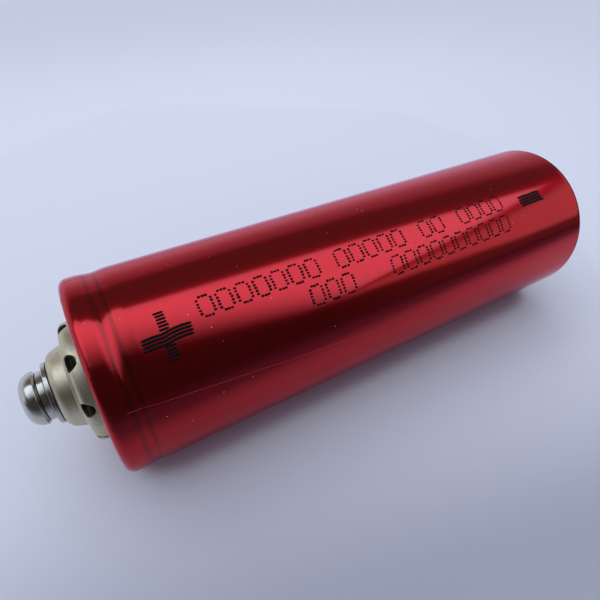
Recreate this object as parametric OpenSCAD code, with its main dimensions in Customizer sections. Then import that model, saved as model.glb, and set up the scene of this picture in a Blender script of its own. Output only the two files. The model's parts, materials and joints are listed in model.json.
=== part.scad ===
// Cylindrical lithium iron phosphate cell with a screw terminal at each end.
//
// Every sub-part is drawn standing on the cell's axis, positive end up, with z = 0 at the
// middle of the sleeved barrel. lay_down() then turns the cell onto its side, so that the
// axis lies along X and the positive end points to -X.

/* [Barrel] */
// Radius of the sleeved barrel
barrel_r = 19; // [18.8:0.1:19.4]
// Length of the sleeved barrel, rim to rim
barrel_len = 117; // [105:1:130]
// Thickness of the shrink film
film_t = 0.15; // [0.12:0.01:0.16]
// Wall of the steel can
can_wall = 0.4; // [0.35:0.05:0.45]
// Floor of the steel can
can_floor = 0.8; // [0.6:0.1:1]

/* [Bead] */
// Distance of the rolled bead's centre from the positive rim
bead_from_rim = 6; // [6:0.1:6.4]
// Depth of the bead in the can
bead_depth = 1.5; // [1.2:0.1:1.6]
// Depth of the valley that the film makes over the bead
film_dip = 0.4; // [0.2:0.1:0.6]

/* [Terminals] */
// Height of the positive cap above the rim of the sleeve
cap_height = 6.4; // [6.2:0.1:7]
// Radius of the cap's wide lower step
cap_step_r = 11.5; // [11.3:0.1:12]
// Number of vent holes in the cap
vent_count = 8; // [4:1:10]
// Diameter of a vent hole
vent_d = 2.9; // [1.6:0.1:3.2]
// Height of the negative post above the rim of the sleeve
post_height = 6; // [5.8:0.1:7]

/* [Screws] */
// Nominal diameter of the terminal screws
screw_d = 6; // [5.6:0.1:6]
// Length of the screw under its head
screw_len = 6; // [5:0.5:6]
// Pitch of the screw thread
pitch = 1; // [0.8:0.1:1.2]
// Diameter of the button head
head_d = 10; // [9.6:0.1:10.6]
// Height of the button head
head_h = 3.1; // [3:0.1:3.3]
// Outside diameter of the flat washer
washer_d = 11.6; // [11:0.1:12]
// Thickness of the flat washer
washer_t = 0.85; // [0.7:0.05:1.2]
// Outside diameter of the split spring washer
spring_d = 9.1; // [8.8:0.1:9.6]
// Thickness of the split spring washer
spring_t = 1.35; // [1.2:0.05:1.6]

/* [Electrode roll] */
// Turns that the roll is drawn with
roll_turns = 12; // [8:1:12]
// Radius of the roll's open core
core_r = 2.45; // [2.4:0.05:3]

/* [Hidden] */
$fn = 96;

half = barrel_len / 2;
gap = 0.02;            // between pieces that are clamped or welded together
slip = 0.05;           // between the film and the can, and the can and the gasket
top_corner = 1.7;      // outside radius of the sleeve's corner at the positive rim
base_corner = 1;       // and at the negative rim
film_lip_r = 15.5;     // inner edge of the film where it wraps over an end

// Can
can_r = barrel_r - film_t - slip;
can_in_r = can_r - can_wall;
can_base = -half + film_t + slip;
can_inside = can_base + can_floor;
ring_t = 0.25;         // fibre ring between the crimped lip and the film
can_top = half - film_t - slip - ring_t;
can_top_corner = 1.5;
can_base_corner = 0.8;
lip_t = 0.45;          // crimped lip
lip_r = 14.4;
bead_half = 3;         // half of the bead's width
bead_z = half - bead_from_rim;

// The stack that the crimp squeezes, downwards from the lip
sheet = 0.7;                                // cap sheet
clamp_r = 17.7;                             // outside radius of the clamped discs
gasket_lip_t = 0.5;
cap_flange_z = can_top - lip_t - gap - gasket_lip_t - gap - sheet;
vent_t = 0.25;
vent_z = cap_flange_z - gap - vent_t;
inner_ring_t = 0.25;
inner_ring_z = vent_z - gap - inner_ring_t;
plate_t = 0.3;
plate_z = inner_ring_z - gap - plate_t;
gasket_z = bead_z + bead_half - 0.95;       // underside of the gasket, on the bead

// Terminal hardware, outwards from a terminal's flat top
cap_top = half + cap_height;
post_top = half + post_height;
shank_r = screw_d / 2 - 0.03;
bore_r = screw_d / 2 + 0.03;
head_offset = gap + washer_t + gap + spring_t + gap;
socket_af = 4;
socket_depth = 2;
nut_h = 2.4;
nut_r = 4.3;
nut_flange_r = 5.4;
nut_flange_t = 0.6;
vent_phase = 19;       // turns the ring of vents about the axis

// Electrode roll
roll_r = can_in_r - 0.35;
roll_pitch = (roll_r - core_r) / roll_turns;
cathode_t = 0.385 * roll_pitch;
anode_t = 0.325 * roll_pitch;
separator_t = 0.09 * roll_pitch;
layer_gap = (roll_pitch - cathode_t - anode_t - 2 * separator_t) / 4;
points_per_turn = 36;
insulator_t = 0.5;
disc_t = 0.3;
top_insulator_z = bead_z - bead_half - 0.1 - insulator_t;
positive_disc_z = top_insulator_z - gap - disc_t;
roll_top = positive_disc_z - gap;
bottom_ring_t = 0.45;
negative_disc_z = can_inside + gap + bottom_ring_t + gap;
roll_bottom = negative_disc_z + disc_t + gap;
foil_margin = 1;       // how far each sheet stops short of the next one
disc_r = 16.5;

// Colours
film_red = [0.72, 0.05, 0.08];
nickel = [0.72, 0.71, 0.66];
steel = [0.62, 0.62, 0.62];
aluminium = [0.83, 0.84, 0.85];
copper = [0.75, 0.42, 0.26];
clear_plastic = [0.90, 0.91, 0.88];
graphite = [0.16, 0.16, 0.18];
phosphate = [0.28, 0.29, 0.31];
fibre = [0.86, 0.84, 0.78];
tape_blue = [0.25, 0.48, 0.72];

// ---------------------------------------------------------------- helpers

module lay_down() { rotate([0, -90, 0]) children(); }

// The same terminal hardware, drawn upwards, seated on the flat top of the terminal at either end
module at_positive_end(z) { lay_down() translate([0, 0, z]) children(); }
module at_negative_end(z) { lay_down() rotate([180, 0, 0]) translate([0, 0, z]) children(); }

function reversed(list) = [for (i = [len(list) - 1:-1:0]) list[i]];

function arc(centre, r, from, to, steps = 8) =
    [for (i = [0:steps]) let (a = from + (to - from) * i / steps)
        [centre[0] + r * cos(a), centre[1] + r * sin(a)]];

function ease(t) = (1 - cos(180 * t)) / 2;

// Depth of the film's valley at a distance s below the positive rim: two eased flanks and a flat bottom
valley = [bead_from_rim - 2.7, bead_from_rim - 0.9, bead_from_rim - 0.2, bead_from_rim + 2.6];
function valley_depth(s) =
    s <= valley[0] || s >= valley[3] ? 0
    : s < valley[1] ? film_dip * ease((s - valley[0]) / (valley[1] - valley[0]))
    : s <= valley[2] ? film_dip
    : film_dip * ease((valley[3] - s) / (valley[3] - valley[2]));

// Depth of the can's bead at a distance from the bead's centre
function bead_inset(dz) = bead_depth * (1 + cos(180 * dz / bead_half)) / 2;
function bead(r) = [for (i = [-8:8]) let (dz = bead_half * i / 8) [r - bead_inset(dz), bead_z + dz]];

module turned(points) { rotate_extrude() polygon(points); }

module ring(r_out, r_in, z, t) {
    turned([[r_in, z], [r_out, z], [r_out, z + t], [r_in, z + t]]);
}

// ---------------------------------------------------------------- casing

function sleeve_surface(inset) = concat(
    [[film_lip_r, -half + inset]],
    arc([barrel_r - base_corner, base_corner - half], base_corner - inset, -90, 0),
    [for (i = [12:-1:0]) let (s = valley[0] + (valley[3] - valley[0]) * i / 12)
        [barrel_r - inset - valley_depth(s), half - s]],
    arc([barrel_r - top_corner, half - top_corner], top_corner - inset, 0, 90),
    [[film_lip_r, half - inset]]
);

module sleeve() {
    color(film_red) lay_down()
        turned(concat(sleeve_surface(0), reversed(sleeve_surface(film_t))));
}

module can() {
    outside = concat(
        [[0, can_base]],
        arc([can_r - can_base_corner, can_base + can_base_corner], can_base_corner, -90, 0),
        bead(can_r),
        arc([can_r - can_top_corner, can_top - can_top_corner], can_top_corner, 0, 90),
        [[lip_r, can_top], [lip_r, can_top - lip_t]]
    );
    under_lip = can_top - lip_t;
    top_fillet = can_top_corner - can_wall;
    base_fillet = can_base_corner - can_wall;
    inside = concat(
        arc([can_in_r - top_fillet, under_lip - top_fillet], top_fillet, 90, 0),
        reversed(bead(can_in_r)),
        arc([can_in_r - base_fillet, can_inside + base_fillet], base_fillet, 0, -90),
        [[0, can_inside]]
    );
    color(steel) lay_down() turned(concat(outside, inside));
}

module terminal_insulator_ring() {
    color(fibre) lay_down() ring(17.5, 12.7, can_top + gap, ring_t);
}

// C-section ring that folds round the clamped discs and reaches past the can's crimped lip
module crimp_gasket() {
    wall = 0.55;
    outer = can_in_r - slip;
    inner = outer - wall;
    lower_mouth = 14.9;
    upper_mouth = lip_r - 0.6;
    bevel = [0.35, 0.8];
    round_over = can_top_corner - can_wall - slip;
    top = can_top - lip_t - gap;
    floor_top = plate_z - gap;
    color(clear_plastic) lay_down() turned(concat(
        [[lower_mouth, gasket_z], [outer - bevel[0], gasket_z], [outer, gasket_z + bevel[1]]],
        arc([outer - round_over, top - round_over], round_over, 0, 90),
        [[upper_mouth, top], [upper_mouth, top - gasket_lip_t], [inner, top - gasket_lip_t],
         [inner, floor_top], [lower_mouth, floor_top]]
    ));
}

// ---------------------------------------------------------------- positive cap assembly

// Outer skin of the stepped cap, inset by the sheet for its inner skin
function cap_surface(inset) =
    let (
        dome_r = 7.75,
        dome_corner = 2.1,
        dome_lean = 0.35,
        shoulder = 1.6,
        step_top = half + 2.75,
        foot_fillet = 0.5,
        root_fillet = 0.6
    ) concat(
        [[0, cap_top - inset]],
        arc([dome_r - dome_lean - dome_corner, cap_top - dome_corner], dome_corner - inset, 90, 10),
        arc([dome_r + foot_fillet, step_top + 0.85], foot_fillet + inset, 190, 262, 5),
        arc([cap_step_r - shoulder, step_top - shoulder], shoulder - inset, 84, 0),
        arc([cap_step_r + root_fillet, cap_flange_z + sheet + root_fillet], root_fillet + inset, 180, 270, 6)
    );

// The vents are drilled at 45 degrees through the rounded shoulder of the cap's lower step
module positive_cap() {
    drill_r = cap_step_r - 0.9;
    drill_z = half + 2;
    drill_l = 4.4;
    color(nickel) lay_down() difference() {
        turned(concat(
            cap_surface(0),
            [[clamp_r, cap_flange_z + sheet], [clamp_r, cap_flange_z]],
            reversed(cap_surface(sheet))
        ));
        translate([0, 0, cap_top - 2]) cylinder(r = bore_r, h = 3);
        for (i = [0:vent_count - 1])
            rotate([0, 0, 360 * i / vent_count + vent_phase])
                translate([drill_r, 0, drill_z])
                    rotate([0, 45, 0]) cylinder(d = vent_d, h = drill_l, center = true);
    }
}

// Threaded bush that is projection-welded under a terminal's flat top
module weld_nut() {
    color(steel) difference() {
        union() {
            translate([0, 0, -nut_h]) cylinder(r = nut_r, h = nut_h);
            translate([0, 0, -nut_flange_t]) cylinder(r = nut_flange_r, h = nut_flange_t);
        }
        translate([0, 0, -nut_h - 1]) cylinder(r = bore_r, h = nut_h + 2);
    }
}
module positive_weld_nut() { at_positive_end(cap_top - sheet - gap) weld_nut(); }
module negative_weld_nut() { at_negative_end(post_top - sheet - gap) weld_nut(); }

// Dished rupture disc with a ring score and a cross score in its upper face
module vent_disc() {
    rim_in = 11.4;
    nub_r = 2.6;
    dish = inner_ring_t + gap;
    score_depth = 0.1;
    score_w = 0.3;
    score_r = 7.2;
    top = vent_z + vent_t;
    color(aluminium) lay_down() difference() {
        turned([
            [0, vent_z - dish], [nub_r, vent_z - dish], [nub_r + 1.2, vent_z], [clamp_r, vent_z],
            [clamp_r, top], [nub_r + 1.2, top], [nub_r, top - dish], [0, top - dish]
        ]);
        ring(score_r + score_w / 2, score_r - score_w / 2, top - score_depth, 1);
        for (a = [0, 90]) rotate([0, 0, a]) for (side = [-1, 1])
            translate([side * (nub_r + 1.4 + score_r) / 2 - (score_r - nub_r - 1.4) / 2, -score_w / 2,
                       top - score_depth])
                cube([score_r - nub_r - 1.4, score_w, 1]);
    }
}

module vent_insulator() {
    color(clear_plastic) lay_down() ring(clamp_r, 12, inner_ring_z, inner_ring_t);
}

module positive_weld_plate() {
    color(aluminium) lay_down() difference() {
        translate([0, 0, plate_z]) cylinder(r = clamp_r - 0.1, h = plate_t);
        for (i = [0:5]) rotate([0, 0, 60 * i]) translate([9, 0, plate_z - 1]) cylinder(r = 1.5, h = 3);
    }
}

// Flat strap folded twice, from the collector disc up to the weld plate
module positive_tab() {
    strap_w = 8;
    strap_t = 0.3;
    reach = 6;
    low = positive_disc_z + disc_t + gap;
    high = plate_z - gap - strap_t;
    mid = (low + high) / 2;
    bend = (mid - low) / 2;             // radius of a fold's centreline
    module fold(z, side) {
        translate([side * reach, z]) intersection() {
            difference() {
                circle(r = bend + strap_t / 2);
                circle(r = bend - strap_t / 2);
            }
            translate([side > 0 ? 0 : -4, -4]) square([4, 8]);
        }
    }
    color(aluminium) lay_down() rotate([90, 0, 0]) translate([0, 0, -strap_w / 2])
        linear_extrude(strap_w) {
            translate([-reach, low]) square([2 * reach, strap_t]);
            translate([-reach, mid]) square([2 * reach, strap_t]);
            translate([-reach, high]) square([2 * reach, strap_t]);
            fold(low + bend + strap_t / 2, 1);
            fold(mid + bend + strap_t / 2, -1);
        }
}

// ---------------------------------------------------------------- electrode roll

// Current collector: a thin disc cut by radial slots, with an optional boss that reaches the can's floor
module collector_disc(z, boss_depth) {
    slots = 6;
    difference() {
        union() {
            translate([0, 0, z]) cylinder(r = disc_r, h = disc_t);
            if (boss_depth > 0) translate([0, 0, z - boss_depth]) cylinder(r = 3.5, h = boss_depth + disc_t);
        }
        for (i = [0:slots - 1]) rotate([0, 0, 360 * i / slots + 30])
            translate([7, -0.9, z - 1]) cube([disc_r, 1.8, 3]);
    }
}
module positive_collector_disc() { color(aluminium) lay_down() collector_disc(positive_disc_z, 0); }
module negative_collector_disc() {
    color(copper) lay_down() collector_disc(negative_disc_z, negative_disc_z - can_inside - gap);
}

module top_insulator_disc() {
    window = [15, 9];
    color(clear_plastic) lay_down() difference() {
        translate([0, 0, top_insulator_z]) cylinder(r = can_in_r - 0.2, h = insulator_t);
        translate([-window[0] / 2, -window[1] / 2, top_insulator_z - 1]) cube([window[0], window[1], 3]);
        for (i = [0:7]) rotate([0, 0, 45 * i + 22.5])
            translate([13, 0, top_insulator_z - 1]) cylinder(r = 1.2, h = 3);
    }
}

module bottom_insulator_ring() {
    color(clear_plastic) lay_down() ring(can_in_r - 0.9, 5, can_inside + gap, bottom_ring_t);
}

// One wound sheet: inset is its distance outwards from the first layer of each turn
module wound_sheet(inset, t, low, high) {
    step = 360 / points_per_turn;
    angles = [for (i = [0:roll_turns * points_per_turn - points_per_turn]) i * step];
    start = core_r + inset;
    inner = [for (a = angles) let (r = start + roll_pitch * a / 360) [r * cos(a), r * sin(a)]];
    outer = [for (a = angles) let (r = start + t + roll_pitch * a / 360) [r * cos(a), r * sin(a)]];
    lay_down() translate([0, 0, low]) linear_extrude(high - low)
        polygon(concat(outer, reversed(inner)));
}
cathode_at = separator_t + layer_gap;
outer_separator_at = cathode_at + cathode_t + layer_gap;
anode_at = outer_separator_at + separator_t + layer_gap;

module inner_separator() {
    color(clear_plastic) wound_sheet(0, separator_t, roll_bottom + foil_margin, roll_top - foil_margin);
}
module cathode_sheet() {
    color(phosphate) wound_sheet(cathode_at, cathode_t, roll_bottom + 2 * foil_margin, roll_top);
}
module outer_separator() {
    color(clear_plastic)
        wound_sheet(outer_separator_at, separator_t, roll_bottom + foil_margin, roll_top - foil_margin);
}
module anode_sheet() {
    color(graphite) wound_sheet(anode_at, anode_t, roll_bottom, roll_top - 2 * foil_margin);
}

module roll_tape() {
    color(tape_blue) lay_down() ring(roll_r + 0.25, roll_r + 0.05, roll_bottom + 3, roll_top - roll_bottom - 6);
}

module core_tube() {
    color(steel) lay_down()
        ring(core_r - 0.1, core_r - 0.5, roll_bottom + foil_margin, roll_top - roll_bottom - 2 * foil_margin);
}

// ---------------------------------------------------------------- negative post

// Pressed hat that is welded to the can's floor
post_foot = -can_base + gap;
function post_surface(inset) =
    let (post_r = 7, post_corner = 1.8, fillet = 0.8) concat(
        [[0, post_top - inset]],
        arc([post_r - post_corner, post_top - post_corner], post_corner - inset, 90, 0),
        arc([post_r + fillet, post_foot + sheet + fillet], fillet + inset, 180, 270, 6)
    );

module negative_post() {
    flange_r = 10;
    at_negative_end(0) color(nickel) difference() {
        turned(concat(
            post_surface(0),
            [[flange_r, post_foot + sheet], [flange_r, post_foot]],
            reversed(post_surface(sheet))
        ));
        translate([0, 0, post_top - 2]) cylinder(r = bore_r, h = 3);
    }
}

// ---------------------------------------------------------------- terminal hardware

module flat_washer() {
    edge = 0.15;
    r = washer_d / 2;
    hole = screw_d / 2 + 0.2;
    color(nickel) turned([
        [hole, gap], [r - edge, gap], [r, gap + edge], [r, gap + washer_t - edge],
        [r - edge, gap + washer_t], [hole, gap + washer_t]
    ]);
}

// Split spring washer, clamped flat, with its slanted cut closed to a narrow gap
module spring_washer() {
    z = gap + washer_t + gap;
    cut_w = 0.7;
    edge = 0.12;
    r = spring_d / 2;
    hole = screw_d / 2 + 0.1;
    color(steel) difference() {
        turned([
            [hole, z], [r - edge, z], [r, z + edge], [r, z + spring_t - edge],
            [r - edge, z + spring_t], [hole, z + spring_t]
        ]);
        rotate([0, 0, 200]) translate([spring_d / 2, 0, z + spring_t / 2]) rotate([35, 0, 0])
            cube([spring_d, cut_w, 3 * spring_t], center = true);
    }
}

// Button-head screw: domed head, hexagon socket, and a shank whose thread is drawn as rings
module screw() {
    r = head_d / 2;
    seat_r = r - 0.5;
    rim = 0.5;             // height of the bevel under the head
    flat_r = 2.45;
    dome_w = r - flat_r;
    dome_h = head_h - rim;
    dome_r = (dome_w * dome_w + dome_h * dome_h) / (2 * dome_w);
    sweep = asin(dome_h / dome_r);
    root = shank_r - 0.55 * pitch;
    neck = 0.6;
    tip = head_offset - screw_len;
    tip_bevel = 0.4;
    crests = floor((screw_len - neck - tip_bevel) / pitch);
    crest = [[root, 0.2], [shank_r, 0.45], [shank_r, 0.55], [root, 0.8]];
    thread = [for (i = [0:crests - 1]) for (p = crest) [p[0], head_offset - neck - (i + p[1]) * pitch]];
    color(steel) difference() {
        turned(concat(
            [[0, head_offset + head_h]],
            [for (i = [8:-1:0]) let (a = sweep * i / 8)
                [r - dome_r * (1 - cos(a)), head_offset + rim + dome_r * sin(a)]],
            [[seat_r, head_offset], [shank_r, head_offset], [shank_r, head_offset - neck]],
            thread,
            [[root, tip + tip_bevel], [root - tip_bevel, tip], [0, tip]]
        ));
        translate([0, 0, head_offset + head_h - socket_depth])
            cylinder(r = socket_af / 2 / cos(30), h = socket_depth + 1, $fn = 6);
    }
}

module positive_flat_washer() { at_positive_end(cap_top) flat_washer(); }
module positive_spring_washer() { at_positive_end(cap_top) spring_washer(); }
module positive_screw() { at_positive_end(cap_top) screw(); }
module negative_flat_washer() { at_negative_end(post_top) flat_washer(); }
module negative_spring_washer() { at_negative_end(post_top) spring_washer(); }
module negative_screw() { at_negative_end(post_top) screw(); }

// ---------------------------------------------------------------- nodes

sleeve();
can();
terminal_insulator_ring();
crimp_gasket();
positive_cap();
positive_weld_nut();
vent_disc();
vent_insulator();
positive_weld_plate();
positive_tab();
positive_collector_disc();
top_insulator_disc();
cathode_sheet();
anode_sheet();
inner_separator();
outer_separator();
roll_tape();
core_tube();
negative_collector_disc();
bottom_insulator_ring();
negative_post();
negative_weld_nut();
positive_screw();
positive_spring_washer();
positive_flat_washer();
negative_screw();
negative_spring_washer();
negative_flat_washer();
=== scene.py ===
"""Looks for a cylindrical cell in a glossy red film sleeve, with a screw terminal at each end.

The row frame has the cell's axis along X, the positive terminal towards -X and the floor under the
barrel. Lengths below are in millimetres. A place on the barrel is given as its distance from the
positive rim and its turn in degrees, counted from the side facing -Y (0) towards the top (90).
A place on a terminal is given as its distance outwards from the sleeve's rim, its radius and a turn.
"""
import json
import math
import random

import bmesh
import bpy
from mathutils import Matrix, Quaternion, Vector, noise
from mathutils.geometry import delaunay_2d_cdt


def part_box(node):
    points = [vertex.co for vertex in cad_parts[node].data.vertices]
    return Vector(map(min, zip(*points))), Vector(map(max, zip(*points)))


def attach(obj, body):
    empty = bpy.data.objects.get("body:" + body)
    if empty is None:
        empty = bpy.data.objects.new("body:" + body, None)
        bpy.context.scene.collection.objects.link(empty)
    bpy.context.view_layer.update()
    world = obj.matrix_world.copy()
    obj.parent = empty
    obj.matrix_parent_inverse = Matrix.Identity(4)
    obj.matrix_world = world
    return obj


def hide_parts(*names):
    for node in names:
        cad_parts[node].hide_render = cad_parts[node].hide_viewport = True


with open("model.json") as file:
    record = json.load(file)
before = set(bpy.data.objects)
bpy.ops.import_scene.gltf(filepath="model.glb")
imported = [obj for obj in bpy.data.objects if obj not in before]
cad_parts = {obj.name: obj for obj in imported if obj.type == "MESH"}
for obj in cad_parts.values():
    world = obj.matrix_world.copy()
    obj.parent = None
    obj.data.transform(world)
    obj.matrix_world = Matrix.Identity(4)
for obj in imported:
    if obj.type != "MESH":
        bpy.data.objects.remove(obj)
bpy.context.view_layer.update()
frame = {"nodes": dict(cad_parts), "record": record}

MM = 0.001
POSITIVE, NEGATIVE = -1, 1              # the two ends, as the sign of their X
RIM = {POSITIVE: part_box("sleeve")[0].x / MM, NEGATIVE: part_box("sleeve")[1].x / MM}
BARREL_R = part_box("sleeve")[1].z / MM
BARREL_LEN = RIM[NEGATIVE] - RIM[POSITIVE]
CAP_TOP = RIM[POSITIVE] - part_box("positive_cap")[0].x / MM
POST_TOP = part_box("negative_post")[1].x / MM - RIM[NEGATIVE]
FLOOR_Z = -BARREL_R

# Film sleeve
FILM_T = 0.12
LIP_R = 15.5                            # where the film ends on the two flat faces
TOP_CORNER = 1.7                        # radius of the film's corner at the positive rim
BASE_CORNER = 1.0                       # and at the negative rim
SAG = (5.8, 2.75, 0.27)                 # hollow over the can's bead: centre, half width, depth
CONTACTS = ((4.45, 0.42, 0.020), (6.15, 0.34, 0.018))   # rings in it where the film touches the can

# Sheet metal and fasteners
SHEET = 0.7
CLEARANCE = 0.02                        # between clamped pieces
WASHER_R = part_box("positive_flat_washer")[1].z / MM
WASHER_T = 0.85
SPRING_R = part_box("positive_spring_washer")[1].y / MM
SPRING_T = 1.35
HEAD_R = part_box("positive_screw")[1].z / MM
HEAD_H = 3.1
SCREW_R = 2.97
PITCH = 1.0
SCREW_LEN = 6.0

# ---------------------------------------------------------------- mesh helpers

def at_end(side, along, radius, turn):
    """Point at a distance outwards from one end's rim, at a radius and a turn in degrees from the top."""
    a = math.radians(turn)
    return (RIM[side] + side * along, -side * radius * math.sin(a), radius * math.cos(a))


def on_barrel(along, turn, radius):
    """Point at a distance from the positive rim, at a turn from the side facing -Y towards the top."""
    a = math.radians(turn)
    return (RIM[POSITIVE] + along, -radius * math.cos(a), radius * math.sin(a))


def bridge(rows, closed):
    """Points and faces of rings of points, joined each to the next, and the last to the first if closed."""
    width = len(rows[0])
    points = [p for row in rows for p in row]
    faces = []
    for i in range(len(rows) if closed else len(rows) - 1):
        below, above = i * width, (i + 1) % len(rows) * width
        for j in range(width):
            k = (j + 1) % width
            faces.append((below + j, below + k, above + k, above + j))
    return points, faces


def capped(rings):
    """Points and faces of a tube of rings, with a flat face on each end."""
    points, faces = bridge(rings, False)
    width = len(rings[0])
    last = (len(rings) - 1) * width
    faces.append(tuple(range(width)))
    faces.append(tuple(last + i for i in range(width)))
    return points, faces


def piece(name, shapes, body, finish, stands_for=()):
    """One mesh piece from a list of (points, faces) in mm; corners that meet are welded."""
    mesh = bpy.data.meshes.new(name)
    points, faces = [], []
    for some_points, some_faces in shapes:
        faces += [[i + len(points) for i in face] for face in some_faces]
        points += some_points
    mesh.from_pydata([[c * MM for c in p] for p in points], [], faces)
    bm = bmesh.new()
    bm.from_mesh(mesh)
    bmesh.ops.remove_doubles(bm, verts=bm.verts, dist=0.0008 * MM)
    bmesh.ops.recalc_face_normals(bm, faces=bm.faces)
    bm.to_mesh(mesh)
    bm.free()
    mesh.shade_smooth()
    mesh.materials.append(MATERIALS[finish])
    made = bpy.data.objects.new(name, mesh)
    bpy.context.scene.collection.objects.link(made)
    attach(made, body)
    if stands_for:
        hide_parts(*stands_for)
    return made


def keep_flats(made):
    """Shades the piece by its large faces, so that flats look flat beside their rounded edges."""
    made.modifiers.new("flats", "WEIGHTED_NORMAL").weight = 100


def rounded(corners, steps=6):
    """Path of (along, radius) through corners of (along, radius, fillet), each corner rounded."""
    path = []
    for i, (along, radius, fillet) in enumerate(corners):
        here = Vector((along, radius))
        if fillet == 0:
            path.append(here)
            continue
        back = (Vector(corners[i - 1][:2]) - here).normalized()
        ahead = (Vector(corners[(i + 1) % len(corners)][:2]) - here).normalized()
        half = back.angle(ahead) / 2
        centre = here + (back + ahead).normalized() * fillet / math.sin(half)
        start = here + back * fillet / math.tan(half) - centre
        end = here + ahead * fillet / math.tan(half) - centre
        swing = start.angle(end)
        for t in range(steps + 1):
            near, far = math.sin(swing * (1 - t / steps)), math.sin(swing * t / steps)
            path.append(centre + (start * near + end * far) / math.sin(swing))
    return path


def arc(centre, radius, start, end, steps=8):
    """Path of (along, radius) points on an arc; 0 degrees points outwards from the axis."""
    turns = [math.radians(start + (end - start) * i / steps) for i in range(steps + 1)]
    return [Vector((centre[0] + radius * math.sin(t), centre[1] + radius * math.cos(t))) for t in turns]


def turned(side, path, closed=True, segments=240, first=0, shift=None):
    """Surface of revolution of a path at one end, starting at a first turn.

    shift(along, radius, turn) may move each point.
    """
    rows = []
    for along, radius in path:
        row = []
        for j in range(segments):
            turn = first + 360 * j / segments
            place = shift(along, radius, turn) if shift else (along, radius)
            row.append(at_end(side, *place, turn))
        rows.append(row)
    return bridge(rows, closed)


# ---------------------------------------------------------------- shader helpers

class Graph:
    """Adds nodes to a shader tree. An input is a number, a vector, a colour or another node's output."""

    def __init__(self, tree):
        self.tree = tree
        tree.nodes.clear()

    def add(self, kind, inputs=None, output=0, **options):
        made = self.tree.nodes.new("ShaderNode" + kind)
        for key, value in options.items():
            setattr(made, key, value)
        for key, value in (inputs or {}).items():
            if isinstance(value, bpy.types.NodeSocket):
                self.tree.links.new(value, made.inputs[key])
            else:
                made.inputs[key].default_value = value
        return made.outputs[output] if made.outputs else made

    def math(self, operation, *values):
        return self.add("Math", dict(enumerate(values)), operation=operation)

    def total(self, first, *others):
        for other in others:
            first = self.math("ADD", first, other)
        return first

    def product(self, first, *others):
        for other in others:
            first = self.math("MULTIPLY", first, other)
        return first

    def smooth(self, value, low, high, start=0.0, end=1.0):
        """Eases from start to end as value goes from low to high."""
        inputs = {"Value": value, "From Min": low, "From Max": high, "To Min": start, "To Max": end}
        return self.add("MapRange", inputs, interpolation_type="SMOOTHSTEP")

    def noise(self, place, scale, detail=2.0, roughness=0.5):
        inputs = {"Vector": place, "Scale": scale, "Detail": detail, "Roughness": roughness}
        return self.add("TexNoise", inputs, output="Fac")

    def stretch(self, place, factors):
        return self.add("VectorMath", {0: place, 1: factors}, operation="MULTIPLY")

    def scaled(self, colour, factor):
        return self.add("VectorMath", {0: colour, "Scale": factor}, operation="SCALE")

    def sum_colours(self, first, *others):
        for other in others:
            first = self.add("VectorMath", {0: first, 1: other}, operation="ADD")
        return first

    def mix(self, factor, first, second):
        inputs = {0: factor, 6: rgba(first), 7: rgba(second)}
        return self.add("Mix", inputs, output=2, data_type="RGBA")

    def bump(self, height, depth):
        """Bump whose height runs from 0 to 1 over depth millimetres."""
        return self.add("Bump", {"Height": height, "Strength": 1.0, "Distance": depth * MM})

    def open_air(self, reach):
        """0 in crevices and enclosed spaces, 1 on faces with nothing near them within reach in mm; it masks
        painted shade.
        """
        return self.smooth(self.add("AmbientOcclusion", {"Distance": reach * MM}, output="AO"), 0.3, 0.85)


def rgba(colour):
    return colour if isinstance(colour, bpy.types.NodeSocket) else (*colour, 1.0)


def material(name, shade):
    """Material whose Principled inputs come from shade(graph, place), with place in millimetres."""
    made = bpy.data.materials.new(name)
    made.use_nodes = True
    graph = Graph(made.node_tree)
    place = graph.scaled(graph.add("TexCoord", output="Object"), 1 / MM)
    surface = graph.add("BsdfPrincipled", shade(graph, place))
    graph.add("OutputMaterial", {"Surface": surface})
    return made


# ---------------------------------------------------------------- materials

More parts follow.
